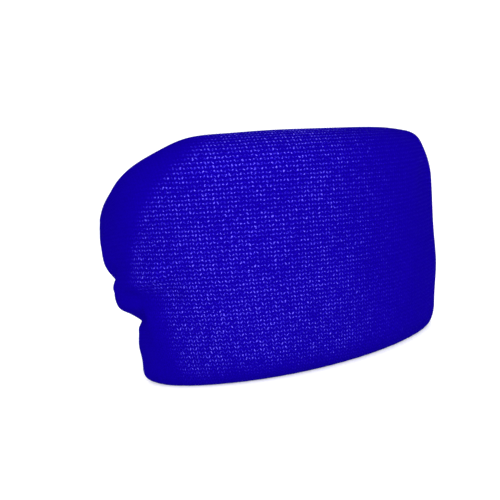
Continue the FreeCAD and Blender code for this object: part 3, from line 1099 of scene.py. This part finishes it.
def lining_material():
    """The darker back of the same yarn, brushed to a soft nap. Its rows of arcs are painted lighter on their
    crowns and darker between them, as painted highlight and shade.
    """
    material, tree, shader, place = new_material("lining_navy")
    wale, course = map_places(tree, "Knit")
    wave = maths(tree, "COSINE", times(tree, wale, FULL_TURN))
    arc = scaled(tree, wave, ARC_BOW, course)
    row = maths(tree, "ABSOLUTE", maths(tree, "SINE", times(tree, arc, math.pi)))
    chance = cell_noise(tree, maths(tree, "FLOOR", wale), maths(tree, "FLOOR", course))
    nap = noise(tree, place, scale=5000.0, detail=4.0)
    patches = noise(tree, place, scale=40.0, detail=3.0)
    painted_crown_light_and_tone = scaled(tree, chance, 0.25, times(tree, row, 0.5))
    soft = scaled(tree, nap, 0.4, scaled(tree, patches, 0.25, painted_crown_light_and_tone))
    # painted highlight on the crowns of the rows and painted shade between them, with a random tone for each
    # stitch
    colour = ramp(
        tree,
        soft,
        (0.20, (0.0030, 0.0006, 0.110)),
        (0.70, (0.0080, 0.0020, 0.250)),
        (1.00, (0.0300, 0.0150, 0.420)),
    )
    roughness = scaled(tree, nap, 0.15, 0.75)
    row_normal = bump(tree, row, distance=0.00012, strength=0.6)
    nap_normal = bump(tree, nap, distance=0.0001, strength=0.6, normal=row_normal)
    set_inputs(tree, shader, Base_Color=colour, Roughness=roughness, Normal=nap_normal)
    set_inputs(tree, shader, Specular_IOR_Level=0.05)
    set_inputs(tree, shader, Sheen_Weight=0.10, Sheen_Roughness=0.5, Sheen_Tint=(0.10, 0.08, 1.0, 1.0))
    return material


def foam_material():
    """Open-cell foam, off-white and slightly yellowed in patches, with painted shade in its pores."""
    material, tree, shader, place = new_material("foam_cream")
    pores = add_node(tree, "TexVoronoi", Vector=place, Scale=1400.0).outputs["Distance"]
    patches = noise(tree, place, scale=60.0, detail=4.0)
    # the pores' hollows are painted darker, as painted shade
    shade = scaled(tree, pores, 0.7, times(tree, patches, 0.4))
    colour = ramp(
        tree,
        shade,
        (0.10, (0.42, 0.36, 0.24)),
        (0.50, (0.74, 0.68, 0.52)),
        (0.90, (0.86, 0.82, 0.70)),
    )
    roughness = scaled(tree, patches, 0.1, 0.85)
    normal = bump(tree, pores, distance=0.0004, strength=0.9)
    set_inputs(tree, shader, Base_Color=colour, Roughness=roughness, Normal=normal)
    set_inputs(tree, shader, Specular_IOR_Level=0.2)
    return material


# waves of the elastic's weave round the tape and across it
WEAVE_PICKS = 360.0
WEAVE_ENDS = 28.0


def elastic_material():
    """Woven elastic: pale ribs with a fine cross weave, whose sunken cells are painted darker as shade and
    high cells lighter.
    """
    material, tree, shader, place = new_material("elastic_white")
    around, across = map_places(tree, "OFBake")
    picks = maths(tree, "SINE", times(tree, around, FULL_TURN * WEAVE_PICKS))
    ends = maths(tree, "SINE", times(tree, across, FULL_TURN * WEAVE_ENDS))
    weave = times(tree, picks, ends)
    dust = noise(tree, place, scale=900.0, detail=4.0)
    # painted shade in the weave's sunken cells and painted highlight on its high ones
    shade = scaled(tree, weave, 0.25, scaled(tree, dust, 0.5, 0.25))
    colour = ramp(tree, shade, (0.1, (0.50, 0.50, 0.52)), (0.9, (0.82, 0.82, 0.80)))
    roughness = scaled(tree, dust, 0.2, 0.55)
    normal = bump(tree, weave, distance=0.00008, strength=0.7)
    set_inputs(tree, shader, Base_Color=colour, Roughness=roughness, Normal=normal, Sheen_Weight=0.1)
    return material


def thread_material():
    """Blue polyester sewing thread, a little brighter than the lining."""
    material, tree, shader, place = new_material("thread_blue")
    lint = noise(tree, place, scale=4000.0, detail=3.0)
    length = noise(tree, place, scale=300.0, detail=2.0)
    shade = scaled(tree, lint, 0.5, times(tree, length, 0.5))
    colour = ramp(tree, shade, (0.25, (0.010, 0.004, 0.30)), (0.75, (0.060, 0.040, 0.70)))
    roughness = scaled(tree, lint, 0.2, 0.32)
    normal = bump(tree, lint, distance=0.00003, strength=0.5)
    set_inputs(tree, shader, Base_Color=colour, Roughness=roughness, Normal=normal)
    set_inputs(tree, shader, Specular_IOR_Level=0.5, Sheen_Weight=0.1)
    return material


# the sweep's own light, which keeps it pale
SWEEP_GLOW = 0.25


def floor_material():
    """A pale, matt studio sweep."""
    material, tree, shader, place = new_material("sweep_pale")
    grain = noise(tree, place, scale=30.0, detail=5.0)
    colour = ramp(tree, grain, (0.3, (0.90, 0.90, 0.90)), (0.7, (0.93, 0.93, 0.93)))
    set_inputs(tree, shader, Base_Color=colour, Roughness=0.9, Specular_IOR_Level=0.1)
    set_inputs(tree, shader, Emission_Color=(1.0, 1.0, 1.0, 1.0), Emission_Strength=SWEEP_GLOW)
    return material


# ---- stage ----

CAMERA_AZIMUTH = math.radians(-23.29)
CAMERA_ELEVATION = math.radians(9.52)
CAMERA_ROLL = math.radians(-6.59)
CAMERA_DISTANCE = 0.330
CAMERA_AIM = Vector((-0.0102, 0.0031, 0.0366))
CAMERA_LENS = 72.1

SWEEP_RADIUS = 1.6
SWEEP_BEND = 0.5
SWEEP_HEIGHT = 1.6
SWEEP_STEPS = 24
SWEEP_SIDES = 96


def pointing(back, roll):
    """The rotation of a camera or lamp that looks against back, rolled about its own axis."""
    turned = (-back).to_track_quat("-Z", "Y").to_matrix()
    return (turned @ Matrix.Rotation(roll, 3, "Z")).to_4x4()


def direction(azimuth, elevation):
    """The direction towards a viewer. Azimuth 0 is on the -Y side and 90 degrees on the +X side."""
    flat = math.cos(elevation)
    return Vector((math.sin(azimuth) * flat, -math.cos(azimuth) * flat, math.sin(elevation)))


def add_camera():
    """The camera, a little to the left of the front and above it."""
    camera = add_object("camera", bpy.data.cameras.new("camera"))
    back = direction(CAMERA_AZIMUTH, CAMERA_ELEVATION)
    camera.matrix_world = pointing(back, CAMERA_ROLL)
    camera.location = CAMERA_AIM + back * CAMERA_DISTANCE
    camera.data.lens = CAMERA_LENS
    camera.data.clip_start = 0.01
    camera.data.clip_end = 20.0
    bpy.context.scene.camera = camera


def add_lamp(name, azimuth, elevation, distance, size, power):
    """A square soft lamp that points at the object's middle."""
    data = bpy.data.lights.new(name, "AREA")
    data.size = size
    data.energy = power
    lamp = add_object(name, data)
    back = direction(math.radians(azimuth), math.radians(elevation))
    lamp.matrix_world = pointing(back, 0.0)
    lamp.location = (CAD_LOW + CAD_HIGH) / 2.0 + back * distance


def add_sweep(material):
    """A floor that curves up into a backdrop, in a full round so that every view has one."""
    angle = np.linspace(0.0, math.pi / 2.0, SWEEP_STEPS)
    away = np.concatenate([[0.0], SWEEP_RADIUS - SWEEP_BEND * (1.0 - np.sin(angle)), [SWEEP_RADIUS]])
    height = np.concatenate([[0.0], SWEEP_BEND * (1.0 - np.cos(angle)), [SWEEP_HEIGHT]])
    turns = np.linspace(0.0, FULL_TURN, SWEEP_SIDES, endpoint=False)
    x = away[:, None] * np.cos(turns)
    y = away[:, None] * np.sin(turns)
    z = np.broadcast_to(height[:, None], x.shape)
    points = np.stack([x, y, z], axis=-1) / MM - SHIFT
    sweep = add_object("sweep", grid_mesh("sweep", points))
    sweep.location.z = CAD_LOW.z
    sweep.data.materials.append(material)


def add_world(strength):
    """An even white light from all round."""
    world = bpy.data.worlds.new("world")
    world.use_nodes = True
    background = world.node_tree.nodes["Background"]
    set_inputs(world.node_tree, background, Color=(1.0, 1.0, 1.0, 1.0), Strength=strength)
    bpy.context.scene.world = world


outer, outer_lengths = outer_knit(outer_knit_material())
lining, lining_lengths = lining_knit(lining_material())
pad = foam_pad(foam_material())
tape = elastic_material()
elastic_tape("wrist_tape", "wrist_elastic", True, tape)
elastic_tape("finger_tape", "finger_elastic", False, tape)
thread = thread_material()
hem_thread("wrist_hem_thread", "wrist_hem_stitches", True, thread)
hem_thread("finger_hem_thread", "finger_hem_stitches", False, thread)
tacking_thread(thread)

add_sweep(floor_material())
add_world(strength=0.62)
add_lamp("key", azimuth=-22.0, elevation=20.0, distance=0.75, size=0.25, power=5.2)
add_lamp("top", azimuth=0.0, elevation=75.0, distance=1.1, size=0.8, power=3.0)
add_camera()
bpy.context.scene.view_settings.view_transform = "Standard"
